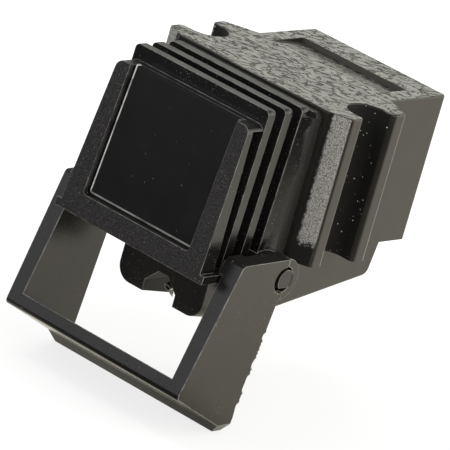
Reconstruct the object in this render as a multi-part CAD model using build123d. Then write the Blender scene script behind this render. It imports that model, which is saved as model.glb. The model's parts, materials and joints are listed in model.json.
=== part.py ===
from build123d import *
import math
import os

# Turntable stylus cartridge: a moulded body that bolts under a headshell, a ribbed
# stylus holder that plugs into its nose, and a flip-down guard on the holder.
# Frame: origin on the mounting face, midway between the two screw centres,
# +Z up, nose towards -Y. Millimetres.

# Mounting ears: half-inch screw spacing, a screw notch open to each side
MOUNT_PITCH = 12.7
NOTCH_WIDTH = 2.67
EAR_SPAN = 14.2
EAR_LENGTH = 1.1
EAR_TIP_RADIUS = 0.35

# Body block
BODY_HEIGHT = 9.02
FRONT_Y = -3.08
FRONT_WIDTH = 11.5
REAR_Y = 8.6
REAR_WIDTH = 10.3
REAR_STEP_Y = 3.4
REAR_CORNER_RADIUS = 0.3
RIM_RADIUS = 0.1

# Shallow ramped recess in the mounting face
POCKET_WIDTH = 8.0
POCKET_FRONT_Y = 2.95
POCKET_REAR_Y = 6.18
POCKET_DEPTH = 0.34

# Keel under the block, with a floor that rises towards the rear
KEEL_WIDTH = 10.3
KEEL_REAR_Y = 6.33
KEEL_REAR_LEAN = 0.34
KEEL_REAR_RADIUS = 0.6
KEEL_EDGE_RADIUS = 0.2
FLOOR_DROP = 12.1
FLOOR_TILT = 9.76

# Room for the coils inside the body, open at the rear for the terminal block
COIL_ROOM_WIDTH = 8.4
COIL_ROOM_TOP = 1.0
COIL_ROOM_BOTTOM = 8.2
COIL_ROOM_FRONT_Y = -2.1
TERMINAL_SEAT_Y = 5.0
TERMINAL_LEDGE = 0.12
POLE_ROOM_WIDTH = 5.0
POLE_ROOM_REAR_Y = 0.2
POLE_ROOM_BOTTOM = 11.7

# Terminals
TERMINAL_BLOCK_LENGTH = 1.2
PIN_DIAMETER = 1.27
PIN_LENGTH = 4.0
PIN_TAIL = 0.1
PIN_NECK_DIAMETER = 0.9
PIN_NECK_LENGTH = 0.15
PIN_SPACING_X = 4.4
PIN_SPACING_Z = 3.6
PIN_NOSE_CHAMFER = 0.2

# Magnetic circuit: two cores, four bobbins, four coils, one screen
SCREEN_SHEET = 0.2
CORE_SECTION = 0.8
COIL_SPACING_X = 3.5
COIL_SPACING_Z = 3.3
COIL_CENTRE_DROP = 4.6
COIL_DIAMETER = 2.8
BOBBIN_FLANGE = 3.1
BOBBIN_FLANGE_THICKNESS = 0.25
BOBBIN_WALL = 0.15
BOBBIN_FRONT_Y = 0.5
BOBBIN_LENGTH = 3.3
YOKE_THICKNESS = 0.4
YOKE_GAP = 0.1
UPPER_FOOT_Y = -1.95
LOWER_FOOT_Y = -0.95
UPPER_FOOT_BOTTOM = 11.0
LOWER_FOOT_BOTTOM = 11.6

# Shank of the stylus holder and its socket, parallel to the floor of the keel
SHANK_SIZE = 1.7
SHANK_WALL = 0.2
SHANK_DROP = 11.4
SHANK_OUTSIDE = 1.6
SHANK_SLOT_WIDTH = 0.9
SHANK_SLOT_END = 0.45
SHANK_CLEARANCE = 0.025
SOCKET_WALL = 0.15
SOCKET_LENGTH = 6.9
SHANK_END_GAP = 0.5
SHANK_INSIDE = SOCKET_LENGTH - SHANK_END_GAP
PLUG_LENGTH = 0.8

# Stylus holder: plate block, ribs, core, rear plate
HOLDER_GAP = 0.05
BLOCK_TOP = 0.87
BLOCK_BOTTOM = 9.99
BLOCK_TOP_Y = -8.85
BLOCK_BOTTOM_Y = -10.12
BLOCK_TOP_WIDTH = 10.18
BLOCK_BOTTOM_WIDTH = 10.86
BLOCK_CORNER_RADIUS = 0.5
RIB_COUNT = 3
RIB_FRONT_Y = -7.53
RIB_PITCH = 1.478
RIB_THICKNESS = 0.62
RIB_WIDTH = 10.28
RIB_CORNER_RADIUS = 0.3
RIB_LEAN = 0.48
GROOVE_DEPTH = 1.2
FLARE_STEP = 0.15
REAR_PLATE_WIDTH = 11.0
REAR_PLATE_TOP = 0.2
REAR_PLATE_THICKNESS = 0.55
FLANGE_WIDTH = 11.5
FLANGE_THICKNESS = 0.49
FLANGE_TOP = BLOCK_BOTTOM - FLANGE_THICKNESS
BLOCK_LID = 0.3
FRAME_WALL = 0.28

# Face plate let into the block, open at its top edge
PLATE_WIDTH = 8.2
PLATE_BOTTOM = 8.68
PLATE_RECESS = 0.75
PLATE_SUNK = 0.36
PLATE_CLEARANCE = 0.06
PLATE_CORNER_RADIUS = 0.25
PLATE_CHAMFER = 0.08

# Skirt round the cantilever
SKIRT_WIDTH = 6.5
SKIRT_FRONT_Y = -6.05
SKIRT_BOTTOM_FRONT = 13.72
SKIRT_BOTTOM_REAR = 14.15
SKIRT_RADIUS = 1.0
ARCH_WIDTH = 2.35
ARCH_TOP = 12.2
ARCH_CHAMFER = 0.8

# Guard and its pivot
PIVOT_Y = -4.33
PIVOT_DROP = 9.69
STUD_RADIUS = 0.64
STUD_FLAT = 0.45
STUD_CLEARANCE = 0.16
STUD_SET_BACK = 0.1
STUD_PROUD = 0.04
CHEEK_RADIUS = 1.15
CHEEK_LENGTH = 1.4
GUARD_INSET = 0.1
GUARD_TAPER = 0.25
GUARD_TOP_WIDTH = EAR_SPAN - 2 * GUARD_INSET
GUARD_END_WIDTH = GUARD_TOP_WIDTH - 2 * GUARD_TAPER
GUARD_WINDOW_WIDTH = 11.74
GUARD_EYE_RADIUS = 1.3
GUARD_EYE_STEP = 0.06
GUARD_GROOVE_WIDTH = 0.16
GUARD_GROOVE_DEPTH = 0.25
GUARD_TOP_Y = -8.35
GUARD_TOP_DROP = 8.46
GUARD_TIP_Y = -10.78
GUARD_TIP_DROP = 16.44
GUARD_HEEL_Y = -6.33
GUARD_HEEL_DROP = 18.59
GUARD_BACK_Y = -5.15
GUARD_BACK_DROP = 18.45
GUARD_BAR = 0.9
GUARD_CORNER_RADIUS = 0.3
GUARD_LIP_Y = -6.0
GUARD_LIP_DROP = 19.2
GUARD_LIP_THICKNESS = 0.75
GUARD_LIP_INSET = 0.5
GUARD_STOP_GAP = 0.05
GUARD_STOP_THICKNESS = 0.3
GUARD_STOP_LENGTH = 1.3

# Moving system: cantilever, magnet, rubber bearing, tie wire, tip
FULCRUM_DEPTH = 0.9
CANTILEVER_DIAMETER = 0.5
CANTILEVER_BORE = 0.34
CANTILEVER_TAIL = 0.7
CANTILEVER_BEND = 1.0
TIP_Y = -5.35
TIP_DROP = 13.1
MAGNET_SIZE = 0.62
MAGNET_LENGTH = 1.5
BEARING_LENGTH = 0.5
BEARING_CLEARANCE = 0.12
TIE_WIRE_DIAMETER = 0.1
TIE_WIRE_GAP = 0.06
TIP_DIAMETER = 0.26
TIP_SETBACK = 0.25
TIP_SHANK = 0.55
TIP_CONE = 0.3
TIP_FLAT = 0.03


def face_of(points):
    """A flat face from the corner points of its outline."""
    return make_face(Polyline(*points, close=True))


def across(points, width):
    """A solid with a side outline of (y, z) points, centred on the middle plane."""
    return extrude(Plane.YZ * face_of(points), amount=width / 2, both=True)


def block(x, y, z):
    """A box between the limits (low, high) on each axis."""
    size = [high - low for low, high in (x, y, z)]
    middle = [(high + low) / 2 for low, high in (x, y, z)]
    return Pos(*middle) * Box(*size)


def centred(width):
    """The limits of a width that is centred on the middle plane."""
    return (-width / 2, width / 2)


def mirrored(solid):
    """A solid together with its mirror image in the middle plane."""
    return solid + mirror(solid, about=Plane.YZ)


def floor_z(y):
    """Height of the keel's floor at a place along the body."""
    return y * math.tan(math.radians(FLOOR_TILT)) - FLOOR_DROP


# The shank's own frame: X across, Y into the body along the shank, Z square to it
SHANK_FRAME = Pos(0, FRONT_Y, -SHANK_DROP) * Rot(FLOOR_TILT, 0, 0)


def shank_bar(size, start, end):
    """A square bar along the shank, between two depths from the body's front face."""
    return SHANK_FRAME * block(centred(size), (start, end), centred(size))


def socket_size():
    """Outer size of the square socket tube."""
    return SHANK_SIZE + 2 * (SHANK_CLEARANCE + SOCKET_WALL)


def body_shell():
    """The moulded body: ears, block, keel and the rooms inside it."""
    ear_y = NOTCH_WIDTH / 2 + EAR_LENGTH
    right = [
        (FRONT_WIDTH / 2, FRONT_Y),
        (EAR_SPAN / 2, -ear_y),
        (EAR_SPAN / 2, ear_y),
        (REAR_WIDTH / 2, REAR_STEP_Y),
        (REAR_WIDTH / 2, REAR_Y),
    ]
    left = [(-x, y) for x, y in reversed(right)]
    plan = face_of(right + left)
    notch = Pos(MOUNT_PITCH / 2, 0) * Circle(NOTCH_WIDTH / 2)
    notch += Pos(MOUNT_PITCH / 2 + EAR_SPAN / 4, 0) * Rectangle(EAR_SPAN / 2, NOTCH_WIDTH)
    plan -= mirrored(notch)
    upper = extrude(plan, amount=-BODY_HEIGHT)
    uprights = upper.edges().filter_by(Axis.Z)
    ear_edges = [e for e in uprights if abs(abs(e.center().X) - EAR_SPAN / 2) < RIM_RADIUS]
    upper = fillet(ear_edges, EAR_TIP_RADIUS)
    rear_edges = [e for e in upper.edges().filter_by(Axis.Z) if e.center().Y > REAR_Y - RIM_RADIUS]
    upper = fillet(rear_edges, REAR_CORNER_RADIUS)
    upper = fillet(upper.faces().sort_by(Axis.Z)[-1].edges(), RIM_RADIUS)

    heel_y = KEEL_REAR_Y - KEEL_REAR_LEAN
    keel = across(
        [
            (FRONT_Y, -COIL_ROOM_BOTTOM),
            (FRONT_Y, floor_z(FRONT_Y)),
            (heel_y, floor_z(heel_y)),
            (KEEL_REAR_Y, -BODY_HEIGHT),
            (KEEL_REAR_Y, -COIL_ROOM_BOTTOM),
        ],
        KEEL_WIDTH,
    )
    floor_rear = keel.faces().sort_by(Axis.Z)[0].edges().sort_by(Axis.Y)[-1]
    keel = fillet(floor_rear, KEEL_REAR_RADIUS)
    floor_sides = keel.faces().sort_by(Axis.Z)[0].edges().filter_by(Axis.X, reverse=True)
    keel = fillet(floor_sides, KEEL_EDGE_RADIUS)
    shell = upper + keel

    pocket = across(
        [
            (POCKET_FRONT_Y, 0),
            (POCKET_REAR_Y, -POCKET_DEPTH),
            (POCKET_REAR_Y, POCKET_DEPTH),
            (POCKET_FRONT_Y, POCKET_DEPTH),
        ],
        POCKET_WIDTH,
    )
    coil_room = block(
        centred(COIL_ROOM_WIDTH),
        (COIL_ROOM_FRONT_Y, REAR_Y),
        (-COIL_ROOM_BOTTOM, -COIL_ROOM_TOP),
    )
    pole_room = block(
        centred(POLE_ROOM_WIDTH),
        (COIL_ROOM_FRONT_Y, POLE_ROOM_REAR_Y),
        (-POLE_ROOM_BOTTOM, -COIL_ROOM_BOTTOM),
    )
    socket_bore = shank_bar(socket_size(), -SHANK_OUTSIDE, SOCKET_LENGTH)
    return shell - pocket - coil_room - terminal_space(REAR_Y) - pole_room - socket_bore


def terminal_space(rear_y):
    """The wider rear mouth of the coil room, where the terminal block seats."""
    return block(
        centred(COIL_ROOM_WIDTH + 2 * TERMINAL_LEDGE),
        (TERMINAL_SEAT_Y, rear_y),
        (-COIL_ROOM_BOTTOM - TERMINAL_LEDGE, -COIL_ROOM_TOP + TERMINAL_LEDGE),
    )


def pin_places():
    """Names and (x, z) places of the four terminals."""
    middle = (COIL_ROOM_TOP + COIL_ROOM_BOTTOM) / 2
    places = {}
    for side, x in (("left", -PIN_SPACING_X / 2), ("right", PIN_SPACING_X / 2)):
        for line, z in (("signal", PIN_SPACING_Z / 2), ("ground", -PIN_SPACING_Z / 2)):
            places[f"terminal_pin_{side}_{line}"] = (x, z - middle)
    return places


def along_body(x, z, start, end, radius):
    """A round bar along the body, between two places on Y."""
    bar = Cylinder(radius, end - start, align=(Align.CENTER, Align.CENTER, Align.MIN))
    return Pos(x, start, z) * Rot(-90, 0, 0) * bar


def terminal_block():
    """The moulded plate that closes the coil room and carries the pins."""
    rear_y = TERMINAL_SEAT_Y + TERMINAL_BLOCK_LENGTH
    plate = terminal_space(rear_y)
    for x, z in pin_places().values():
        plate -= along_body(x, z, TERMINAL_SEAT_Y, rear_y, PIN_NECK_DIAMETER / 2)
    return plate


def terminal_pin(x, z):
    """One plated contact pin: a neck moulded into the block and a barrel with a chamfered nose."""
    block_y = TERMINAL_SEAT_Y + TERMINAL_BLOCK_LENGTH
    barrel_y = block_y + PIN_NECK_LENGTH
    neck = along_body(x, z, TERMINAL_SEAT_Y - PIN_TAIL, barrel_y, PIN_NECK_DIAMETER / 2)
    barrel = along_body(x, z, barrel_y, block_y + PIN_LENGTH, PIN_DIAMETER / 2)
    return neck + chamfer(barrel.edges().sort_by(Axis.Y)[-1], PIN_NOSE_CHAMFER)


def screen():
    """The folded magnetic screen that lines the coil room's roof and sides."""
    length = (COIL_ROOM_FRONT_Y, TERMINAL_SEAT_Y)
    outer = block(centred(COIL_ROOM_WIDTH), length, (-COIL_ROOM_BOTTOM, -COIL_ROOM_TOP))
    inner = block(
        centred(COIL_ROOM_WIDTH - 2 * SCREEN_SHEET),
        length,
        (-COIL_ROOM_BOTTOM, -COIL_ROOM_TOP - SCREEN_SHEET),
    )
    return outer - inner


def coil_places():
    """Names and (x, z) places of the four coils, seen from the front."""
    places = {}
    for side, x in (("left", -COIL_SPACING_X / 2), ("right", COIL_SPACING_X / 2)):
        for level, z in (("upper", COIL_SPACING_Z / 2), ("lower", -COIL_SPACING_Z / 2)):
            places[f"{side}_{level}"] = (x, z - COIL_CENTRE_DROP)
    return places


def core_arm(x, z, foot_y, foot_bottom, rear_y):
    """One square core arm along the body, with a foot down beside the shank."""
    half = CORE_SECTION / 2
    arm = block((x - half, x + half), (foot_y, rear_y), (z - half, z + half))
    foot = block((x - half, x + half), (foot_y, foot_y + CORE_SECTION), (-foot_bottom, z))
    return arm + foot


def core(upper_side, yoke_y):
    """One channel's core: an upper and a lower arm on opposite sides, and their yoke."""
    lower_side = "right" if upper_side == "left" else "left"
    upper = coil_places()[f"{upper_side}_upper"]
    lower = coil_places()[f"{lower_side}_lower"]
    rear_y = yoke_y + YOKE_THICKNESS
    arms = core_arm(*upper, UPPER_FOOT_Y, UPPER_FOOT_BOTTOM, rear_y)
    arms += core_arm(*lower, LOWER_FOOT_Y, LOWER_FOOT_BOTTOM, rear_y)
    span_x = lower[0] - upper[0]
    span_z = lower[1] - upper[1]
    yoke = Box(math.hypot(span_x, span_z), YOKE_THICKNESS, CORE_SECTION)
    middle = Pos((upper[0] + lower[0]) / 2, yoke_y + YOKE_THICKNESS / 2, (upper[1] + lower[1]) / 2)
    return arms + middle * Rot(0, -math.degrees(math.atan2(span_z, span_x)), 0) * yoke


def bobbin(x, z):
    """A square spool on a core arm."""
    tube_size = CORE_SECTION + 2 * BOBBIN_WALL
    end_y = BOBBIN_FRONT_Y + BOBBIN_LENGTH

    def square(size, start, end):
        half = size / 2
        return block((x - half, x + half), (start, end), (z - half, z + half))

    spool = square(tube_size, BOBBIN_FRONT_Y, end_y)
    spool += square(BOBBIN_FLANGE, BOBBIN_FRONT_Y, BOBBIN_FRONT_Y + BOBBIN_FLANGE_THICKNESS)
    spool += square(BOBBIN_FLANGE, end_y - BOBBIN_FLANGE_THICKNESS, end_y)
    return spool - square(CORE_SECTION, BOBBIN_FRONT_Y, end_y)


def coil(x, z):
    """The winding between a bobbin's flanges."""
    start = BOBBIN_FRONT_Y + BOBBIN_FLANGE_THICKNESS
    end = BOBBIN_FRONT_Y + BOBBIN_LENGTH - BOBBIN_FLANGE_THICKNESS
    half = CORE_SECTION / 2 + BOBBIN_WALL
    hole = block((x - half, x + half), (start, end), (z - half, z + half))
    return along_body(x, z, start, end, COIL_DIAMETER / 2) - hole


def socket_tube():
    """The thin square tube in the body that the shank slides into, flush with its front."""
    bore = SHANK_SIZE + 2 * SHANK_CLEARANCE
    tube = shank_bar(socket_size(), -SHANK_OUTSIDE, SOCKET_LENGTH)
    tube -= shank_bar(bore, -SHANK_OUTSIDE, SOCKET_LENGTH)
    return tube - block(centred(EAR_SPAN), (SKIRT_FRONT_Y, FRONT_Y), (-SKIRT_BOTTOM_REAR, 0))


def block_front_y(z):
    """Place of the plate block's sloping front face at a height."""
    share = (-z - BLOCK_TOP) / (BLOCK_BOTTOM - BLOCK_TOP)
    return BLOCK_TOP_Y + share * (BLOCK_BOTTOM_Y - BLOCK_TOP_Y)


def behind_front(depth):
    """The space behind a plane that lies a depth inside the block's front face."""
    far_y = FRONT_Y - HOLDER_GAP
    return across(
        [
            (block_front_y(0) + depth, 0),
            (block_front_y(-BLOCK_BOTTOM) + depth, -BLOCK_BOTTOM),
            (far_y, -BLOCK_BOTTOM),
            (far_y, 0),
        ],
        2 * FLANGE_WIDTH,
    )


def upright_plate(points, front_y, rear_y):
    """A plate with a front outline of (x, z) points, between two places on Y."""
    return Pos(0, rear_y, 0) * extrude(Plane.XZ * face_of(points), amount=rear_y - front_y)


def round_top(plate):
    """A plate of the holder with its upper corners rounded."""
    corners = plate.edges().filter_by(Axis.Y).sort_by(Axis.Z)[-2:]
    return fillet(corners, RIB_CORNER_RADIUS)


def rib_y(y, z):
    """A place on Y at the ribs' tops, followed down to a height as the ribs lean forward."""
    return y + RIB_LEAN * z / FLANGE_TOP


def leaning_block(x, y, z):
    """A block between limits on each axis, with front and rear faces that lean with the ribs."""
    front_y, rear_y = y
    low, high = z
    foot = (rib_y(front_y, low), low), (rib_y(rear_y, low), low)
    head = (rib_y(rear_y, high), high), (rib_y(front_y, high), high)
    outline = [*foot, *head]
    return Pos(x[0], 0, 0) * extrude(Plane.YZ * face_of(outline), amount=x[1] - x[0], dir=(1, 0, 0))


def block_groove():
    """The groove down the right side of the plate block, in front of the first rib."""
    floor_x = PLATE_WIDTH / 2 + FRAME_WALL
    front_y = RIB_FRONT_Y - RIB_PITCH + RIB_THICKNESS
    top = -BLOCK_TOP - BLOCK_LID
    return leaning_block((floor_x, FLANGE_WIDTH), (front_y, RIB_FRONT_Y), (-FLANGE_TOP, top))


def flare(rear_y):
    """The right side of the holder where it widens from the last rib to the rear plate."""
    start_y = RIB_FRONT_Y + (RIB_COUNT - 1) * RIB_PITCH + FLARE_STEP
    end_y = rear_y - REAR_PLATE_THICKNESS
    inner_x = RIB_WIDTH / 2 - GROOVE_DEPTH
    sections = []
    for z in (-FLANGE_TOP, -REAR_PLATE_TOP - RIB_CORNER_RADIUS):
        front = (inner_x, rib_y(start_y, z)), (RIB_WIDTH / 2, rib_y(start_y, z))
        back = (REAR_PLATE_WIDTH / 2, end_y), (inner_x, end_y)
        sections.append(Pos(0, 0, z) * face_of([*front, *back]))
    return loft(sections, ruled=True)


def plate_recess(clearance, front_depth, back_depth):
    """The face plate's slab, shrunk by a clearance, between two depths in the block."""
    half = PLATE_WIDTH / 2 - clearance
    foot = -PLATE_BOTTOM + clearance
    slab = block((-half, half), (BLOCK_BOTTOM_Y, FRONT_Y), (foot, -BLOCK_TOP))
    lower_corners = slab.edges().filter_by(Axis.Y).sort_by(Axis.Z)[:2]
    slab = fillet(lower_corners, PLATE_CORNER_RADIUS)
    return slab & (behind_front(front_depth) - behind_front(back_depth))


def stylus_grip():
    """The moulded stylus holder: plate block, leaning ribs, flange, skirt and pivot studs."""
    rear_y = FRONT_Y - HOLDER_GAP
    top = (-BLOCK_TOP_WIDTH / 2, -BLOCK_TOP), (BLOCK_TOP_WIDTH / 2, -BLOCK_TOP)
    bottom = (BLOCK_BOTTOM_WIDTH / 2, -BLOCK_BOTTOM), (-BLOCK_BOTTOM_WIDTH / 2, -BLOCK_BOTTOM)
    plate_block = upright_plate([*top, *bottom], BLOCK_BOTTOM_Y, RIB_FRONT_Y)
    upper_corners = plate_block.edges().filter_by(Axis.Y).sort_by(Axis.Z)[-2:]
    plate_block = fillet(upper_corners, BLOCK_CORNER_RADIUS) & behind_front(0)
    before_ribs = 2 * BLOCK_BOTTOM_Y, RIB_FRONT_Y
    plate_block &= leaning_block(centred(FLANGE_WIDTH), before_ribs, (-BLOCK_BOTTOM, 0))
    grip = plate_block - plate_recess(0, 0, PLATE_RECESS) - mirrored(block_groove())

    core_width = RIB_WIDTH - 2 * GROOVE_DEPTH
    grip += block(centred(core_width), (RIB_FRONT_Y, rear_y), (-BLOCK_BOTTOM, -GROOVE_DEPTH))
    for i in range(RIB_COUNT):
        front_y = RIB_FRONT_Y + i * RIB_PITCH
        rib = leaning_block(centred(RIB_WIDTH), (front_y, front_y + RIB_THICKNESS), (-FLANGE_TOP, 0))
        grip += round_top(rib)
    rear_plate_y = rear_y - REAR_PLATE_THICKNESS, rear_y
    grip += round_top(block(centred(REAR_PLATE_WIDTH), rear_plate_y, (-FLANGE_TOP, -REAR_PLATE_TOP)))
    grip += mirrored(flare(rear_y))
    flange = block(centred(FLANGE_WIDTH), (BLOCK_BOTTOM_Y, rear_y), (-BLOCK_BOTTOM, -FLANGE_TOP))
    grip += flange & behind_front(0)
    grip += skirt(rear_y)
    grip += mirrored(pivot_stud())
    shank_hole = shank_bar(SHANK_SIZE, -SHANK_OUTSIDE, SHANK_INSIDE)
    return grip - shank_hole


def pivot_bar(radius, start, end):
    """A round bar on the guard's pivot axis, between two places on X."""
    bar = Cylinder(radius, end - start, align=(Align.CENTER, Align.CENTER, Align.MIN))
    return Pos(start, PIVOT_Y, -PIVOT_DROP) * Rot(0, 90, 0) * bar


def pivot_stud():
    """One pivot stud with a flat underside, at the back of the guard's hole."""
    inner_x = FLANGE_WIDTH / 2 - CHEEK_LENGTH
    end_x = guard_width_at(-PIVOT_DROP) / 2 + STUD_PROUD
    stud = Pos(0, STUD_SET_BACK, 0) * pivot_bar(STUD_RADIUS, inner_x, end_x)
    below = block(
        (FLANGE_WIDTH / 2, GUARD_TOP_WIDTH),
        (PIVOT_Y - CHEEK_RADIUS, PIVOT_Y + CHEEK_RADIUS),
        (-PIVOT_DROP - CHEEK_RADIUS, -PIVOT_DROP - STUD_FLAT),
    )
    return pivot_bar(CHEEK_RADIUS, inner_x, FLANGE_WIDTH / 2) + (stud - below)


def skirt(rear_y):
    """The skirt below the holder, with an arched tunnel for the cantilever."""
    wall = across(
        [
            (SKIRT_FRONT_Y, -FLANGE_TOP),
            (SKIRT_FRONT_Y, -SKIRT_BOTTOM_FRONT),
            (rear_y, -SKIRT_BOTTOM_REAR),
            (rear_y, -FLANGE_TOP),
        ],
        SKIRT_WIDTH,
    )
    lower_sides = wall.faces().sort_by(Axis.Z)[0].edges().filter_by(Axis.X, reverse=True)
    wall = fillet(lower_sides, SKIRT_RADIUS)
    arch = block(centred(ARCH_WIDTH), (SKIRT_FRONT_Y, rear_y), (-SKIRT_BOTTOM_REAR, -ARCH_TOP))
    arch = chamfer(arch.edges().filter_by(Axis.Y).sort_by(Axis.Z)[-2:], ARCH_CHAMFER)
    return wall - arch


def name_plate():
    """The separate face plate, sunk a little below its frame, chamfered and left bare."""
    plate = plate_recess(PLATE_CLEARANCE, PLATE_SUNK, PLATE_RECESS)
    return chamfer(plate.faces().sort_by(Axis.Y)[0].edges(), PLATE_CHAMFER)


def stylus_shank():
    """The square tube that plugs into the socket, slotted below for the cantilever."""
    bore = SHANK_SIZE - 2 * SHANK_WALL
    tube = shank_bar(SHANK_SIZE, -SHANK_OUTSIDE, SHANK_INSIDE)
    tube -= shank_bar(bore, -SHANK_OUTSIDE, SHANK_INSIDE)
    slot = SHANK_FRAME * block(
        centred(SHANK_SLOT_WIDTH), (-SHANK_OUTSIDE, SHANK_SLOT_END), (-SHANK_SIZE / 2, 0)
    )
    return tube - slot


def shank_plug():
    """The crimped plug that closes the shank's rear end and holds the tie wire."""
    hole = along_shank(TIE_WIRE_DIAMETER / 2, SHANK_INSIDE - PLUG_LENGTH, SHANK_INSIDE)
    return shank_bar(SHANK_SIZE - 2 * SHANK_WALL, SHANK_INSIDE - PLUG_LENGTH, SHANK_INSIDE) - hole


def along_shank(radius, start, end):
    """A round bar on the shank's axis, between two depths."""
    return SHANK_FRAME * along_body(0, 0, start, end, radius)


def magnet_end():
    """Depth of the magnet's rear face."""
    return FULCRUM_DEPTH + CANTILEVER_TAIL + MAGNET_LENGTH


def tie_wire():
    """The fine wire from the plug to the moving system."""
    return along_shank(TIE_WIRE_DIAMETER / 2, magnet_end() + TIE_WIRE_GAP, SHANK_INSIDE)


def suspension_bearing():
    """The rubber bearing that the cantilever rocks in."""
    size = SHANK_SIZE - 2 * SHANK_WALL
    end = FULCRUM_DEPTH + BEARING_LENGTH
    hole = along_shank(CANTILEVER_DIAMETER / 2 + BEARING_CLEARANCE, FULCRUM_DEPTH, end)
    return shank_bar(size, FULCRUM_DEPTH, end) - hole


def cantilever_path():
    """Points of the cantilever in the side view: tail, bend at the fulcrum, tip."""
    tail = SHANK_FRAME * Pos(0, FULCRUM_DEPTH + CANTILEVER_TAIL, 0)
    bend = SHANK_FRAME * Pos(0, FULCRUM_DEPTH, 0)
    return [tail.position, bend.position, Vector(0, TIP_Y, -TIP_DROP)]


def cantilever_tube():
    """The thin aluminium tube, bent down from the fulcrum to the tip."""
    points = cantilever_path()
    path = FilletPolyline(*points, radius=CANTILEVER_BEND)
    start = Plane(origin=points[0], z_dir=points[1] - points[0])
    wall = start * (Circle(CANTILEVER_DIAMETER / 2) - Circle(CANTILEVER_BORE / 2))
    return sweep(wall, path=path)


def magnet():
    """The square magnet on the cantilever's tail."""
    return shank_bar(MAGNET_SIZE, FULCRUM_DEPTH + CANTILEVER_TAIL, magnet_end())


def cantilever_bar():
    """The straight front run of the cantilever as a full round bar."""
    points = cantilever_path()
    run = Plane(origin=points[2], z_dir=points[1] - points[2])
    length = (points[1] - points[2]).length / 2
    return extrude(run * Circle(CANTILEVER_DIAMETER / 2), amount=length)


def diamond_tip():
    """The ground tip below the cantilever's end, square to it."""
    outline = [
        (0, 0),
        (TIP_DIAMETER / 2, 0),
        (TIP_DIAMETER / 2, -TIP_SHANK),
        (TIP_FLAT, -TIP_SHANK - TIP_CONE),
        (0, -TIP_SHANK - TIP_CONE),
    ]
    stone = revolve(Plane.XZ * face_of(outline), axis=Axis.Z)
    points = cantilever_path()
    back = (points[1] - points[2]).normalized()
    seat = Plane(origin=points[2] + back * TIP_SETBACK, x_dir=(1, 0, 0), z_dir=(0, -back.Z, back.Y))
    return seat.location * stone - cantilever_bar()


def guard_side():
    """Side view of the guard's arms, as (y, z): a round eye and a long skewed blade."""
    top = (GUARD_TOP_Y, -GUARD_TOP_DROP)
    tip = (GUARD_TIP_Y, -GUARD_TIP_DROP)
    heel = (GUARD_HEEL_Y, -GUARD_HEEL_DROP)
    back = (GUARD_BACK_Y, -GUARD_BACK_DROP)
    eye_top = (PIVOT_Y, -PIVOT_DROP + GUARD_EYE_RADIUS)
    eye_back = (PIVOT_Y + GUARD_EYE_RADIUS, -PIVOT_DROP)
    eye_low = (PIVOT_Y, -PIVOT_DROP - GUARD_EYE_RADIUS)
    front = Polyline(eye_top, top, tip, heel, back, eye_low)
    side = make_face(front + ThreePointArc(eye_low, eye_back, eye_top))
    front_corners = side.vertices().sort_by(Axis.X)[:2]
    return fillet(front_corners, GUARD_CORNER_RADIUS)


def guard_directions():
    """Unit vectors in the side view: up the guard's front edge, and along its end to the heel."""
    top = Vector(GUARD_TOP_Y, -GUARD_TOP_DROP)
    tip = Vector(GUARD_TIP_Y, -GUARD_TIP_DROP)
    heel = Vector(GUARD_HEEL_Y, -GUARD_HEEL_DROP)
    return (top - tip).normalized(), (heel - tip).normalized()


def guard_window():
    """The space between the guard's arms, above its cross bar."""
    up, along = guard_directions()
    reach = GUARD_TIP_DROP
    start = Vector(GUARD_TIP_Y, -GUARD_TIP_DROP) + up * GUARD_BAR
    corners = [
        start - along * reach,
        start + along * reach,
        start + along * reach + up * 2 * reach,
        start - along * reach + up * 2 * reach,
    ]
    return across([(c.X, c.Y) for c in corners], GUARD_WINDOW_WIDTH)


def guard_width_at(z):
    """Outside width of the guard at a height: its arms spread towards the pivot."""
    share = (-z - GUARD_TOP_DROP) / (GUARD_HEEL_DROP - GUARD_TOP_DROP)
    return GUARD_TOP_WIDTH + share * (GUARD_END_WIDTH - GUARD_TOP_WIDTH)


def guard_envelope():
    """Front view of the guard's outside: tapered arms, and the lip's narrower free edge."""
    top = guard_width_at(0) / 2
    heel = GUARD_END_WIDTH / 2
    edge = heel - GUARD_LIP_INSET
    right = [(top, 0), (heel, -GUARD_HEEL_DROP), (edge, -GUARD_LIP_DROP)]
    left = [(-x, z) for x, z in reversed(right)]
    return upright_plate(right + left, 2 * GUARD_TIP_Y, 0)


def guard_lip():
    """The finger lip under the heel of the cross bar."""
    return across(
        [
            (GUARD_HEEL_Y, -GUARD_HEEL_DROP),
            (GUARD_LIP_Y, -GUARD_LIP_DROP),
            (GUARD_LIP_Y + GUARD_LIP_THICKNESS, -GUARD_LIP_DROP),
            (GUARD_BACK_Y, -GUARD_BACK_DROP),
        ],
        GUARD_TOP_WIDTH,
    )


def guard_stop():
    """The pad inside one arm that rests on the holder's flange when the guard is down."""
    inner_x = GUARD_WINDOW_WIDTH / 2 - GUARD_STOP_THICKNESS
    return block(
        (inner_x, GUARD_END_WIDTH / 2),
        (2 * GUARD_TIP_Y, GUARD_TOP_Y + GUARD_STOP_LENGTH),
        (-FLANGE_TOP + GUARD_STOP_GAP, 0),
    )


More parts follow.
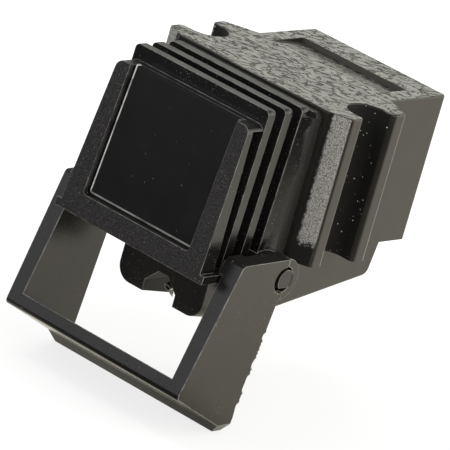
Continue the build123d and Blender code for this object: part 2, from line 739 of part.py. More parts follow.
def stylus_guard():
    """The flip guard in its photographed place: two arms, a cross bar and a finger lip."""
    solid_guard = extrude(Plane.YZ * guard_side(), amount=GUARD_TOP_WIDTH, both=True)
    guard = (solid_guard - guard_window()) + (solid_guard & mirrored(guard_stop()))
    guard = (guard + guard_lip()) & guard_envelope()
    guard -= mirrored(pivot_bar(STUD_RADIUS + STUD_CLEARANCE, 0, GUARD_TOP_WIDTH))
    eye_face = guard_width_at(-PIVOT_DROP - GUARD_EYE_RADIUS) / 2 - GUARD_EYE_STEP
    eye_reach = PIVOT_DROP + GUARD_EYE_RADIUS
    behind_pivot = block((eye_face, GUARD_TOP_WIDTH), (PIVOT_Y, 0), (-eye_reach, 0))
    groove = block(
        (eye_face - GUARD_GROOVE_DEPTH, GUARD_TOP_WIDTH),
        (PIVOT_Y, PIVOT_Y + GUARD_GROOVE_WIDTH),
        (-eye_reach, 0),
    )
    return guard - mirrored(behind_pivot + groove)


def nodes():
    """Every sub-part by name."""
    left_yoke_y = BOBBIN_FRONT_Y + BOBBIN_LENGTH + YOKE_GAP
    found = {
        "body_shell": body_shell(),
        "terminal_block": terminal_block(),
        "magnetic_screen": screen(),
        "core_left_channel": core("left", left_yoke_y),
        "core_right_channel": core("right", left_yoke_y + YOKE_THICKNESS + YOKE_GAP),
        "socket_tube": socket_tube(),
        "stylus_grip": stylus_grip(),
        "name_plate": name_plate(),
        "stylus_shank": stylus_shank(),
        "shank_plug": shank_plug(),
        "tie_wire": tie_wire(),
        "suspension_bearing": suspension_bearing(),
        "cantilever_tube": cantilever_tube(),
        "magnet": magnet(),
        "diamond_tip": diamond_tip(),
        "stylus_guard": stylus_guard(),
    }
    for name, place in pin_places().items():
        found[name] = terminal_pin(*place)
    for name, place in coil_places().items():
        found[f"bobbin_{name}"] = bobbin(*place)
        found[f"coil_{name}"] = coil(*place)
    return found


os.makedirs("parts", exist_ok=True)
for node, solid in nodes().items():
    export_step(solid, f"parts/{node}.step")
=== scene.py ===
# %% [markdown]
# # A turntable stylus cartridge
# This lesson dresses the CAD model of a small phono cartridge. The solids give every size. Here they get a
# camera, a stage and light, then finishes, soft moulded edges, windings and dust.

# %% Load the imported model
import json
import math

import bmesh
import bpy
from mathutils import Matrix, Vector, noise

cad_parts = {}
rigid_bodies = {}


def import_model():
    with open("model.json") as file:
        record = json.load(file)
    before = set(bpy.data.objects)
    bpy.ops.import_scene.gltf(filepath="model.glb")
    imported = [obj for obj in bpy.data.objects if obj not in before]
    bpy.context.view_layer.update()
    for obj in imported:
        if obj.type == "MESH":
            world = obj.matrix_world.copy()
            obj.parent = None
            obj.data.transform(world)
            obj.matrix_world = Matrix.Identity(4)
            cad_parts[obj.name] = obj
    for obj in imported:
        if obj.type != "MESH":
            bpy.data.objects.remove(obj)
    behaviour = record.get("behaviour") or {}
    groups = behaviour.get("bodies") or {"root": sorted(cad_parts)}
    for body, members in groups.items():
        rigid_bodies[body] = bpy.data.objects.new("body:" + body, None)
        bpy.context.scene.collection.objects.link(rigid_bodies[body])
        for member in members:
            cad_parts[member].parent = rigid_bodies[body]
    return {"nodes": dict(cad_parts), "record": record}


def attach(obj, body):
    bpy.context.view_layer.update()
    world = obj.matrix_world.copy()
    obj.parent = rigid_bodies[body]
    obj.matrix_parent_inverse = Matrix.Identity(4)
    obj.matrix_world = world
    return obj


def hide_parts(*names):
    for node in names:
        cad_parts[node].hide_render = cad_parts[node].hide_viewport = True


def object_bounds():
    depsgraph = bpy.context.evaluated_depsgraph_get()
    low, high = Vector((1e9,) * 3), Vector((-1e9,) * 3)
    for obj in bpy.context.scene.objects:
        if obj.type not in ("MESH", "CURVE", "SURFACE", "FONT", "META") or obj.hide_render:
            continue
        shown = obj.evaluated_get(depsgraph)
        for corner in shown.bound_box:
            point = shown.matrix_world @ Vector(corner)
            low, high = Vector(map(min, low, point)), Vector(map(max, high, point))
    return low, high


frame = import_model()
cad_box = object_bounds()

MM = 0.001
nodes = frame["nodes"]

# %% [markdown]
# ## The camera
# The photograph was taken from the front right and a little above, with the picture rolled to one side. A
# camera could be set by eye. One that is fitted to the mounting face and the screw notches shows every edge
# where the photograph has it, so the angles and the distance come from such a fit.

# %% Camera
AZIMUTH, ELEVATION, ROLL = (math.radians(angle) for angle in (36.238, 17.901, 15.956))
DISTANCE = 311.729 * MM
SHIFT_RIGHT, SHIFT_UP = -3.559 * MM, -8.839 * MM
SENSOR_WIDTH = 36
LENS = 438.9
NEAREST = 0.01

back = Vector((
    math.sin(AZIMUTH) * math.cos(ELEVATION),
    -math.cos(AZIMUTH) * math.cos(ELEVATION),
    math.sin(ELEVATION),
))
level = Vector((math.cos(AZIMUTH), math.sin(AZIMUTH), 0))
rise = back.cross(level)
right = math.cos(ROLL) * level + math.sin(ROLL) * rise
up = math.cos(ROLL) * rise - math.sin(ROLL) * level

camera = bpy.data.objects.new("camera", bpy.data.cameras.new("camera"))
bpy.context.collection.objects.link(camera)
turn = Matrix((right, up, back)).transposed().to_4x4()
camera.matrix_world = Matrix.Translation(SHIFT_RIGHT * right + SHIFT_UP * up + DISTANCE * back) @ turn
camera.data.sensor_width = SENSOR_WIDTH
camera.data.lens = LENS
camera.data.clip_start = NEAREST
bpy.context.scene.camera = camera
bpy.context.scene.view_settings.view_transform = "Standard"
print("camera at", [round(c, 4) for c in camera.location])

# %% [markdown]
# ## Node helpers
# Each finish is a small tree of shader nodes. Nodes could be placed by hand in the editor, but a script can
# be read and changed. These helpers add a node and join its inputs, so that a material reads like a recipe.

# %% Add and join nodes
def add(tree, kind, **inputs):
    """Adds a node; an input is a value or another node's output socket, and _0 means the first input."""
    node = tree.nodes.new(kind)
    for name, value in inputs.items():
        key = int(name[1:]) if name[0] == "_" and name[1:].isdigit() else name.replace("_", " ")
        if isinstance(value, bpy.types.NodeSocket):
            tree.links.new(value, node.inputs[key])
        else:
            node.inputs[key].default_value = value
    return node


def math_node(tree, operation, first, *others):
    """Takes one kind of arithmetic step through several values in turn."""
    result = first
    for other in others or (0.0,):
        node = add(tree, "ShaderNodeMath", _0=result, _1=other)
        node.operation = operation
        result = node.outputs[0]
    return result


def axes(tree, vector):
    """The X, Y and Z outputs of a vector."""
    return add(tree, "ShaderNodeSeparateXYZ", _0=vector).outputs


print("helpers: add, math_node, axes")

# %% Shares, colours and noise
def ramp(tree, value, span, start=0.0, end=1.0):
    """Takes a value over a span from start to end, held at both ends."""
    low, high = span
    return add(tree, "ShaderNodeMapRange", _0=value, _1=low, _2=high, _3=start, _4=end).outputs[0]


def past(tree, place, span, start=0.0, end=1.0):
    """A ramp along a coordinate, with its span in millimetres."""
    low, high = span
    return ramp(tree, place, (low * MM, high * MM), start, end)


def blend(tree, share, first, second):
    """A colour between two, by a share."""
    node = tree.nodes.new("ShaderNodeMix")
    node.data_type = "RGBA"
    for key, value in ((0, share), (6, first), (7, second)):
        if isinstance(value, bpy.types.NodeSocket):
            tree.links.new(value, node.inputs[key])
        else:
            node.inputs[key].default_value = value if key == 0 else (*value, 1)
    return node.outputs[2]


def noise_at(tree, vector, scale, detail=3.0, roughness=0.55):
    """A cloudy noise of so many features a millimetre."""
    cloud = add(tree, "ShaderNodeTexNoise", Vector=vector, Scale=scale / MM, Detail=detail,
                Roughness=roughness)
    return cloud.outputs["Fac"]


print("helpers: ramp, past, blend, noise_at")

# %% [markdown]
# ## The paper
# The cartridge stands on a sheet of white paper, as on a small product table, and on the left the sheet
# ends just in front of it. A plain white sheet turns grey in the shade, so this one glows where it is seen.
# In glossy faces it is dark ahead of a slanting line, like a table with a black card on it, which keeps the
# black fronts black.

# %% Sheet of paper
FLOOR_GAP = 0.02 * MM
FLOOR_Z = cad_box[0][2] - FLOOR_GAP
PAPER_HALF = 600
PAPER_FRONT, PAPER_FRONT_END = -17, -6
TONGUE_SIDE, TONGUE_CORNER = 8, -60

outline = [
    (-PAPER_HALF, PAPER_FRONT), (PAPER_FRONT_END, PAPER_FRONT), (TONGUE_SIDE, TONGUE_CORNER),
    (TONGUE_SIDE, -PAPER_HALF), (PAPER_HALF, -PAPER_HALF), (PAPER_HALF, PAPER_HALF),
    (-PAPER_HALF, PAPER_HALF),
]
mesh = bpy.data.meshes.new("paper")
mesh.from_pydata([(x * MM, y * MM, FLOOR_Z) for x, y in outline], [], [range(len(outline))])
paper = bpy.data.objects.new("paper", mesh)
bpy.context.collection.objects.link(paper)
print("paper at height", round(FLOOR_Z / MM, 2), "mm")

# %% Finish of the paper
GLOW_SPAN, GLOW_NEAR = (21, 34), 0.8
CARD_SLOPE, CARD_EDGE, CARD_SHARE = 0.3, (-9, -3), 0.04
IVORY, WHITE = (1, 0.94, 0.8), (1, 1, 1)
SHEET_TONE, SEEN_TONE, CARD_TONE = (0.85, 0.85, 0.84), (0.22, 0.22, 0.22), (0.03, 0.03, 0.03)


def paper_finish():
    """White paper that glows for the camera, with a dark card on it for glossy faces."""
    made = bpy.data.materials.new("white_paper")
    made.use_nodes = True
    tree = made.node_tree
    tree.nodes.clear()
    rays = tree.nodes.new("ShaderNodeLightPath").outputs
    seen = math_node(
        tree, "MAXIMUM", rays["Is Camera Ray"], rays["Is Glossy Ray"], rays["Is Transmission Ray"])
    place = tree.nodes.new("ShaderNodeTexCoord").outputs["Object"]
    from_middle = add(tree, "ShaderNodeVectorMath", _0=place)
    from_middle.operation = "LENGTH"
    white = past(tree, from_middle.outputs["Value"], GLOW_SPAN, GLOW_NEAR, 1.0)
    at = axes(tree, place)
    aside = math_node(tree, "MULTIPLY", math_node(tree, "SUBTRACT", at["X"], TONGUE_SIDE * MM), CARD_SLOPE)
    card = past(tree, math_node(tree, "SUBTRACT", at["Y"], aside), CARD_EDGE, CARD_SHARE, 1.0)
    shown = math_node(tree, "MAXIMUM", math_node(tree, "SUBTRACT", 1.0, rays["Is Glossy Ray"]), card)
    tint = blend(tree, rays["Is Camera Ray"], IVORY, WHITE)
    strength = math_node(tree, "MULTIPLY", seen, white, shown)
    glow = add(tree, "ShaderNodeEmission", Color=tint, Strength=strength)
    tone = blend(tree, shown, CARD_TONE, blend(tree, seen, SHEET_TONE, SEEN_TONE))
    sheet = add(tree, "ShaderNodeBsdfDiffuse", Color=tone)
    both = add(tree, "ShaderNodeAddShader", _0=glow.outputs[0], _1=sheet.outputs[0])
    add(tree, "ShaderNodeOutputMaterial", Surface=both.outputs[0])
    return made


mesh.materials.append(paper_finish())
print("paper finish:", mesh.materials[0].name)

# %% [markdown]
# ## The world
# Behind the object the photograph is pure white, as in a light tent, so the camera sees this world as white.
# An evenly white world would turn every glossy black face grey. In reflections this one is white only near
# the level of the table: it is dark below, and dim overhead, so that the small slopes of a grain turn dark
# between its bright flats.

# %% World
TABLE_LEVEL, BELOW_TABLE = (-0.12, 0.12), 0.06
OVERHEAD, OVERHEAD_SHARE = (0.4, 0.75), 0.2
FILL = 0.7

world = bpy.data.worlds.new("studio")
bpy.context.scene.world = world
world.use_nodes = True
tree = world.node_tree
tree.nodes.clear()
rays = tree.nodes.new("ShaderNodeLightPath").outputs
height = axes(tree, tree.nodes.new("ShaderNodeTexCoord").outputs["Generated"])["Z"]
mirrored = math_node(
    tree, "MULTIPLY", ramp(tree, height, TABLE_LEVEL, BELOW_TABLE, 1.0),
    ramp(tree, height, OVERHEAD, 1.0, OVERHEAD_SHARE))
change = math_node(tree, "MULTIPLY", rays["Is Glossy Ray"], math_node(tree, "SUBTRACT", mirrored, FILL))
strength = math_node(
    tree, "MAXIMUM", math_node(tree, "ADD", change, FILL), rays["Is Camera Ray"], rays["Is Transmission Ray"])
sky = add(tree, "ShaderNodeBackground", Color=(*WHITE, 1), Strength=strength)
add(tree, "ShaderNodeOutputWorld", Surface=sky.outputs[0])
print("world fill:", FILL)

# %% [markdown]
# ## The softboxes
# Large soft lights give the broad, even shine on the top, the keel and the ribs, and one small lamp lights
# the left edges. A lamp with a fixed power changes its brightness with its size. These are set by radiance,
# which is what a glossy face mirrors, so a box can be made larger without growing brighter.

# %% Softboxes
WARM = (1, 0.94, 0.82)
YELLOW_WHITE = (1, 1, 0.8)


def softbox(name, place_mm, aim_mm, width, height, radiance, tint=WHITE):
    """A soft rectangular light of one brightness, in millimetres."""
    data = bpy.data.lights.new(name, "AREA")
    data.shape = "RECTANGLE"
    data.size = width * MM
    data.size_y = height * MM
    data.color = tint
    data.energy = radiance * math.pi * width * height * MM * MM
    lamp = bpy.data.objects.new(name, data)
    bpy.context.collection.objects.link(lamp)
    lamp.location = Vector(place_mm) * MM
    lamp.rotation_euler = (Vector(aim_mm) - Vector(place_mm)).to_track_quat("-Z", "Y").to_euler()
    lamp.visible_camera = False
    print(name, "power:", round(data.energy, 4))


softbox("back_softbox", (-170, 230, 90), (0, 0, -5), width=320, height=200, radiance=0.95, tint=YELLOW_WHITE)
softbox("side_wall", (110, 70, 50), (0, 10, -8), width=190, height=130, radiance=1.4, tint=WARM)
softbox("front_fill", (150, -120, 60), (4, -3, -6), width=90, height=90, radiance=2.2, tint=WARM)
softbox("edge_lamp", (-123, -68, 165), (0, -4, -5), width=36, height=36, radiance=20.0)

# %% [markdown]
# ## Wear and dust
# Black moulded plastic is never quite even: it has a faint mottle, fine scratches, worn spots that shine
# less, specks of dust, and edges that hands have rubbed pale. That pale on the edges is also a painted
# highlight, for the light that their small rounds catch. Such marks could be painted on an image.
# Patterns on the object's own coordinates need no unwrapping, so each mark is a short recipe that several
# finishes share.

# %% Mottle, gloss and scratches
def new_material(name):
    """A material with its tree and its shader."""
    made = bpy.data.materials.new(name)
    made.use_nodes = True
    made.node_tree.nodes.clear()
    shader = made.node_tree.nodes.new("ShaderNodeBsdfPrincipled")
    add(made.node_tree, "ShaderNodeOutputMaterial", Surface=shader.outputs[0])
    return made, made.node_tree, shader


def mottled(tree, spot, dark, light):
    """A colour that wanders between two tones."""
    return blend(tree, ramp(tree, noise_at(tree, spot, 1.1, detail=4.0), (0.3, 0.7)), dark, light)


def worn_gloss(tree, spot, gloss):
    """A roughness that wanders between two values."""
    wear = noise_at(tree, spot, 0.6, detail=5.0, roughness=0.65)
    return ramp(tree, wear, (0.35, 0.7), *gloss)


def scratched(tree, spot, shader, squeeze, turn, strength, depth):
    """Fine scratches as bump: a noise that is squeezed along one axis and turned."""
    drawn = add(tree, "ShaderNodeMapping", Vector=spot, Scale=(1.0, 1.0, squeeze), Rotation=turn)
    lines = noise_at(tree, drawn.outputs[0], 1.6, detail=6.0, roughness=0.7)
    bump = add(tree, "ShaderNodeBump", Height=lines, Strength=strength, Distance=depth)
    tree.links.new(bump.outputs[0], shader.inputs["Normal"])


print("recipes: mottled, worn_gloss, scratched")

# %% Specks, and rubbed edges with a painted highlight
SPECK_CELLS = 6500.0
DUST_TONE = (0.3, 0.293, 0.28)
RUBBED_HIGHLIGHT_TONE = (0.24, 0.234, 0.222)
EDGE_MARK = "edge_round"


def dusted(tree, spot, colour, share):
    """Strews pale specks over a colour, on a share of the cells of a fine pattern, in drifts."""
    cells = add(tree, "ShaderNodeTexVoronoi", Vector=spot, Scale=SPECK_CELLS)
    chance = add(tree, "ShaderNodeSeparateColor", _0=cells.outputs["Color"]).outputs[0]
    speck = ramp(tree, cells.outputs["Distance"], (0.05, 0.3), 1.0, 0.0)
    chosen = math_node(tree, "GREATER_THAN", chance, 1 - share)
    strength = ramp(tree, chance, (1 - share, 1.0), 0.1, 1.0)
    drifts = ramp(tree, noise_at(tree, spot, 0.5), (0.35, 0.7), 0.25, 1.0)
    return blend(tree, math_node(tree, "MULTIPLY", speck, chosen, strength, drifts), colour, DUST_TONE)


def rubbed_highlit_edges(tree, spot, colour, pale=RUBBED_HIGHLIGHT_TONE):
    """Pales a colour in patches on the narrow edge rounds, which are marked on the mesh: rubbing and a
    painted highlight.
    """
    mark = tree.nodes.new("ShaderNodeAttribute")
    mark.attribute_name = EDGE_MARK
    patches = ramp(tree, noise_at(tree, spot, 1.4, detail=4.0, roughness=0.7), (0.36, 0.62), 0.15, 1.0)
    # painted highlight and wear: pale patches on the marked edge rounds
    return blend(tree, math_node(tree, "MULTIPLY", mark.outputs["Fac"], patches), colour, pale)


print("recipes: dusted, rubbed_highlit_edges")

# %% [markdown]
# ## Moulded plastics
# The stylus holder, the guard and the small plastic parts inside are injection mouldings. The holder and
# the guard are used ones: a powdery film lies on what faces forward. Painted shade makes the guard's fronts
# near black and the top ends of its arms black with a few painted glints, and those ends are dull. A painted
# sheen makes the front of the holder's skirt a lighter brown. Each piece could have a tree of its own. One
# recipe with sizes for colour, gloss and scratch depth is shorter, and it adds the film, the painted shade
# and sheen and the dull places only where a piece has them.

# %% Film, painted shade and painted sheen on the fronts
FRONT_FACING = (-0.8, -0.5)
SKIRT_TOP = (-10.1, -10.0)
RIB_SLOPE = 0.0505
FILM_FADE, FILM_BEHIND, FILM_ON_SKIRT = 0.2, 0.25, 0.3
FRONT_SHADE_TONE, FRONT_SHADE_SHARE = (0.003, 0.0027, 0.0032), 0.9
SKIRT_SHEEN_TONE = (0.03, 0.026, 0.023)
POWDER_TONE = (0.085, 0.0798, 0.0817)


def filmed(tree, spot, at, facing, colour, share, limit):
    """Lays a powdery film on what faces forward. With a limit, which leans as the ribs do, it is thinner
    behind the limit and on the skirt below, whose front is painted a lighter brown as a painted sheen.
    Without one, the front under the film is painted near black as painted shade."""
    ahead = ramp(tree, facing["Y"], FRONT_FACING, 1.0, 0.0)
    powder = ramp(tree, noise_at(tree, spot, 14.0, roughness=0.7), (0.42, 0.68), 0.1, 1.0)
    if limit is None:
        # painted shade: the fronts of the guard are near black
        colour = blend(tree, math_node(tree, "MULTIPLY", ahead, FRONT_SHADE_SHARE), colour, FRONT_SHADE_TONE)
    else:
        skirt = past(tree, at["Z"], SKIRT_TOP, 1.0, 0.0)
        leaning = math_node(tree, "SUBTRACT", at["Y"], math_node(tree, "MULTIPLY", at["Z"], RIB_SLOPE))
        thin = past(tree, leaning, (limit - FILM_FADE, limit + FILM_FADE), 1.0, FILM_BEHIND)
        on_skirt = ramp(tree, skirt, (0.0, 1.0), 1.0, FILM_ON_SKIRT)
        powder = math_node(tree, "MULTIPLY", powder, on_skirt, math_node(tree, "MAXIMUM", thin, skirt))
        # painted sheen: the front of the skirt is a lighter brown
        colour = blend(tree, math_node(tree, "MULTIPLY", skirt, ahead, share), colour, SKIRT_SHEEN_TONE)
    return blend(tree, math_node(tree, "MULTIPLY", ahead, powder, share), colour, POWDER_TONE)


print("recipe: filmed, with the skirt below", SKIRT_TOP[1], "mm")

# %% Shaded ends and dull places
SHADED_END_FADE, SHADED_END_ROUGHNESS = 0.05, 0.55
END_SHADE_TONE, END_GLINT_TONE = (0.0035, 0.003, 0.003), (0.3, 0.29, 0.28)
DULL_FADE, REAR_DULLNESS, TOP_DULLNESS, ARCH_DULLNESS = 0.05, 0.55, 0.5, 0.6
ARCH_MOUTH, ARCH_TOP, ARCH_SIDE = (-6.04, -6.0), (-10.4, -10.2), (1.95, 2.0)


def shaded_end(tree, spot, at, facing, floor):
    """The share and the tone of the painted shade on an end: black with pale painted glints, on what looks up
    above a floor.
    """
    looks_up = ramp(tree, facing["Z"], (0.35, 0.5))
    end_shade = math_node(tree, "MULTIPLY", looks_up, past(tree, at["Z"], (floor - SHADED_END_FADE, floor)))
    glints = ramp(tree, noise_at(tree, spot, 3.2, roughness=0.7), (0.66, 0.7))
    return end_shade, blend(tree, glints, END_SHADE_TONE, END_GLINT_TONE)


def dull_places(tree, at, facing, start):
    """The roughness to add behind a line, on level tops and in the holder's arch."""
    rear = past(tree, at["Y"], (start, start + DULL_FADE), 0.0, REAR_DULLNESS)
    tops = ramp(tree, facing["Z"], (0.7, 0.95), 0.0, TOP_DULLNESS)
    off_middle = math_node(tree, "ABSOLUTE", at["X"])
    in_arch = math_node(
        tree, "MULTIPLY", past(tree, at["Y"], ARCH_MOUTH, 0.0, ARCH_DULLNESS),
        past(tree, at["Z"], ARCH_TOP, 1.0, 0.0), past(tree, off_middle, ARCH_SIDE, 1.0, 0.0))
    return math_node(tree, "MAXIMUM", rear, tops, in_arch)


print("recipes: shaded_end, dull_places")

# %% Moulded plastic
SCRATCH_SQUEEZE, SCRATCH_TURN, SCRATCH_STRENGTH = 9.0, (0.5, 0.3, 0.2), 0.5
SCRATCH_DEPTH = 0.02 * MM


def moulded(name, dark, light, gloss, scratch, dust=0.0, film=0.0, film_before=None, dull_behind=None,
            shade_above=None):
    """Moulded plastic: mottled colour, uneven gloss and fine scratches, with the marks that a piece has."""
    made, tree, shader = new_material(name)
    coords = tree.nodes.new("ShaderNodeTexCoord").outputs
    spot = coords["Object"]
    at, facing = axes(tree, spot), axes(tree, coords["Normal"])
    colour = mottled(tree, spot, dark, light)
    roughness = worn_gloss(tree, spot, gloss)
    if film:
        colour = filmed(tree, spot, at, facing, colour, film, film_before)
    if dust:
        colour = rubbed_highlit_edges(tree, spot, dusted(tree, spot, colour, dust))
    if shade_above is not None:
        end_shade, tone = shaded_end(tree, spot, at, facing, shade_above)
        # painted shade with painted glints on the top ends of the guard's arms; the ends are also made dull
        colour = blend(tree, end_shade, colour, tone)
        roughness = math_node(tree, "ADD", roughness, math_node(tree, "MULTIPLY", end_shade, SHADED_END_ROUGHNESS))
    if dull_behind is not None:
        roughness = math_node(tree, "ADD", roughness, dull_places(tree, at, facing, dull_behind))
    tree.links.new(colour, shader.inputs["Base Color"])
    tree.links.new(roughness, shader.inputs["Roughness"])
    scratched(tree, spot, shader, SCRATCH_SQUEEZE, SCRATCH_TURN, SCRATCH_STRENGTH, scratch * SCRATCH_DEPTH)
    return made


holder_plastic = moulded(
    "holder_plastic", (0.005, 0.0047, 0.0047), (0.0085, 0.0078, 0.0076), (0.03, 0.09), scratch=0.7, dust=0.3,
    film=0.55, film_before=-8.0, dull_behind=-3.9)
guard_plastic = moulded(
    "guard_plastic", (0.0137, 0.0116, 0.008), (0.02, 0.017, 0.0122), (0.12, 0.26), scratch=0.8, dust=0.05,
    film=0.16, shade_above=-9.0)
print("moulded:", holder_plastic.name, guard_plastic.name)

# %% [markdown]
# ## The face plate
# The plate on the holder's front looks like a laminate: a black skin on a white core. Where its border has
# worn, the core shows as a pale line, most of all on the left. The pale line is also a painted highlight of
# the border's edge, so it is strongest on the left, fainter at the bottom and faint on the right. A second,
# slightly larger white plate behind a black one would give an even line. A white share near the border,
# broken up by noise, gives a worn one.

# %% Face plate
LEFT_BORDER, LEFT_SHARE = (-3.9, -3.86), 1.0
RIGHT_BORDER, RIGHT_SHARE = (3.89, 3.93), 0.12
LOWER_BORDER, LOWER_SHARE = (-8.48, -8.44), 0.35
SKIN_DARK, SKIN_LIGHT = (0.0018, 0.0018, 0.0021), (0.0036, 0.0035, 0.0039)
SKIN_GLOSS, SKIN_DUST = (0.08, 0.18), 0.012
CORE_AND_HIGHLIGHT_TONE = (0.9, 0.89, 0.87)


def laminate_plate():
    """The face plate: a glossy black skin on a white core that shows along its worn border, with the
    border's painted highlight in the same pale line.
    """
    made, tree, shader = new_material("plate_plastic")
    spot = tree.nodes.new("ShaderNodeTexCoord").outputs["Object"]
    at = axes(tree, spot)
    border = math_node(
        tree, "MAXIMUM", past(tree, at["X"], LEFT_BORDER, LEFT_SHARE, 0.0),
        past(tree, at["X"], RIGHT_BORDER, 0.0, RIGHT_SHARE),
        past(tree, at["Z"], LOWER_BORDER, LOWER_SHARE, 0.0))
    patches = ramp(tree, noise_at(tree, spot, 1.3, detail=4.0, roughness=0.7), (0.35, 0.55), 0.4, 1.0)
    skin = dusted(tree, spot, mottled(tree, spot, SKIN_DARK, SKIN_LIGHT), SKIN_DUST)
    # the pale border line is worn core and a painted highlight
    colour = blend(tree, math_node(tree, "MULTIPLY", border, patches), skin, CORE_AND_HIGHLIGHT_TONE)
    tree.links.new(colour, shader.inputs["Base Color"])
    tree.links.new(worn_gloss(tree, spot, SKIN_GLOSS), shader.inputs["Roughness"])
    scratched(tree, spot, shader, squeeze=12.0, turn=(0.0, 0.7, 0.0), strength=0.4, depth=0.01 * MM)
    return made


plate_plastic = laminate_plate()
print("laminate:", plate_plastic.name)

# %% [markdown]
# ## The body's plastic
# The body comes from one mould with several textures cut into it: a leather grain on the top, a fine
# stipple on the slanted faces of the ears, and plain gloss elsewhere. The pocket in its top is flaked, and
# its screw notches are dull. The piece could be split into one material for each texture. Shares that are 1
# on one zone and fade at its border keep it whole, so the zones come first.

# %% Zones of the body
LOOKS_UP, SLANTED, UPRIGHT = (0.75, 0.95), (0.6, 0.8), (0.3, 0.5)
TOP_DEPTH = (-0.6, -0.5)
EAR_SLANT, EAR_ROOT, EAR_FOOT = (2.2, 2.4), (5.78, 5.84), (-9.03, -9.0)
NOTCH_SIDE, NOTCH_FLOOR = (1.34, 1.37), (4.9, 4.95)
POCKET_RAMP, POCKET_SIDE = (-0.34, -0.02), (3.98, 4.0)
WALL_FOOT, WALL_FRONT, WALL_BACK, WALL_SIDE = (-0.4, -0.36), (6.1, 6.15), (6.2, 6.25), (4.02, 4.05)


def body_zones(tree, coords):
    """A share for each zone: the top, the ears' slants, the notches, the pocket and its rear wall."""
    at, facing = axes(tree, coords["Object"]), axes(tree, coords["Normal"])
    out_x = math_node(tree, "ABSOLUTE", at["X"])
    off_y = math_node(tree, "ABSOLUTE", at["Y"])
    upright = ramp(tree, math_node(tree, "ABSOLUTE", facing["Z"]), UPRIGHT, 1.0, 0.0)
    slanted = ramp(tree, math_node(tree, "ABSOLUTE", facing["Y"]), SLANTED)
    top = math_node(tree, "MULTIPLY", ramp(tree, facing["Z"], LOOKS_UP), past(tree, at["Z"], TOP_DEPTH))
    ear = math_node(tree, "MULTIPLY", slanted, past(tree, off_y, EAR_SLANT), past(tree, out_x, EAR_ROOT))
    notch = math_node(
        tree, "MULTIPLY", upright, past(tree, off_y, NOTCH_SIDE, 1.0, 0.0), past(tree, out_x, NOTCH_FLOOR),
        past(tree, at["Z"], EAR_FOOT))
    pocket = math_node(
        tree, "MULTIPLY", top, past(tree, at["Z"], POCKET_RAMP, 1.0, 0.0),
        past(tree, out_x, POCKET_SIDE, 1.0, 0.0))
    wall = math_node(
        tree, "MULTIPLY", upright, past(tree, at["Z"], WALL_FOOT), past(tree, off_y, WALL_FRONT),
        past(tree, off_y, WALL_BACK, 1.0, 0.0), past(tree, out_x, WALL_SIDE, 1.0, 0.0))
    return {
        "top": top, "ear": ear, "notch": notch, "pocket": pocket, "wall": wall, "out_x": out_x, "z": at["Z"],
    }


print("body zones: top, ear, notch, pocket, wall")

# %% Grain of the body
GRAIN_STRETCH, GRAIN_SHIFTS, GRAIN_DEPTH = 1.5, (0, 37), 0.1 * MM
TOP_PITS, EAR_PITS, FLAKE_RELIEF = 0.04, 0.45, 3.0


def creases(tree, spot, shift):
    """Short winding lines, drawn out across the view, where a cloudy noise crosses its middle value."""
    drawn = add(tree, "ShaderNodeMapping", Vector=spot, Location=(shift * MM, 0, 0), Rotation=(0, 0, AZIMUTH),
                Scale=(GRAIN_STRETCH, 1.0, 1.0))
    drawn.vector_type = "TEXTURE"
    cloud = noise_at(tree, drawn.outputs[0], 1.55, detail=0.6, roughness=0.5)
    off_middle = math_node(tree, "ABSOLUTE", math_node(tree, "SUBTRACT", cloud, 0.5))
    return ramp(tree, off_middle, (0.014, 0.042), 1.0, 0.0)


def body_patterns(tree, spot, zone):
    """The leather's creases on the top, the fine pits of a stipple, and flakes."""
    lines = math_node(tree, "MAXIMUM", *(creases(tree, spot, shift) for shift in GRAIN_SHIFTS))
    broken = ramp(tree, noise_at(tree, spot, 2.2, detail=2.0), (0.4, 0.48))
    leather = math_node(tree, "MULTIPLY", lines, broken, zone["top"])
    pits = noise_at(tree, spot, 24.0, detail=2.0, roughness=0.6)
    flakes = noise_at(tree, spot, 2.4, roughness=0.6)
    return leather, pits, flakes


def body_relief(tree, zone, leather, pits, flakes):
    """The bump of the body: sunken creases, pits and flakes."""
    pitted = math_node(
        tree, "ADD", math_node(tree, "MULTIPLY", zone["top"], TOP_PITS),
        math_node(tree, "MULTIPLY", zone["ear"], EAR_PITS))
    relief = math_node(tree, "SUBTRACT", math_node(tree, "MULTIPLY", pits, pitted), leather)
    relief = math_node(tree, "ADD", relief, math_node(tree, "MULTIPLY", zone["pocket"], flakes, FLAKE_RELIEF))
    return add(tree, "ShaderNodeBump", Height=relief, Strength=1.0, Distance=GRAIN_DEPTH).outputs[0]


print("grain:", len(GRAIN_SHIFTS), "layers of creases")

# %% Colour of the body
BODY_DARK, BODY_LIGHT, CREASE_SHADE_TONE = (0.0175, 0.016, 0.0132), (0.0247, 0.022, 0.018), (0.003, 0.003, 0.0025)
FLAKE_DARK, FLAKE_LIGHT, FLAKE_SHARE = (0.008, 0.0075, 0.0065), (0.13, 0.127, 0.113), 0.8
WALL_PAINTED_LIGHT = (0.07, 0.068, 0.06)
EAR_TONE, SCUFF_DARK, SCUFF_AND_SHEEN_LIGHT = (0.002, 0.0018, 0.002), (0.045, 0.0414, 0.0387), (0.52, 0.508, 0.488)
SCUFF_RAGGED, SCUFF_RAGGED_FOOT = 0.5 * MM, 3.0
SCUFF_SIDE, EAR_SHADE_FOOT = (6.0, 6.14), (-7.9, -7.6)
NOTCH_SHADE_TONE, NOTCH_DUST = (0.002, 0.0016, 0.0017), 0.06
BODY_RUBBED_HIGHLIGHT = (0.055, 0.053, 0.049)


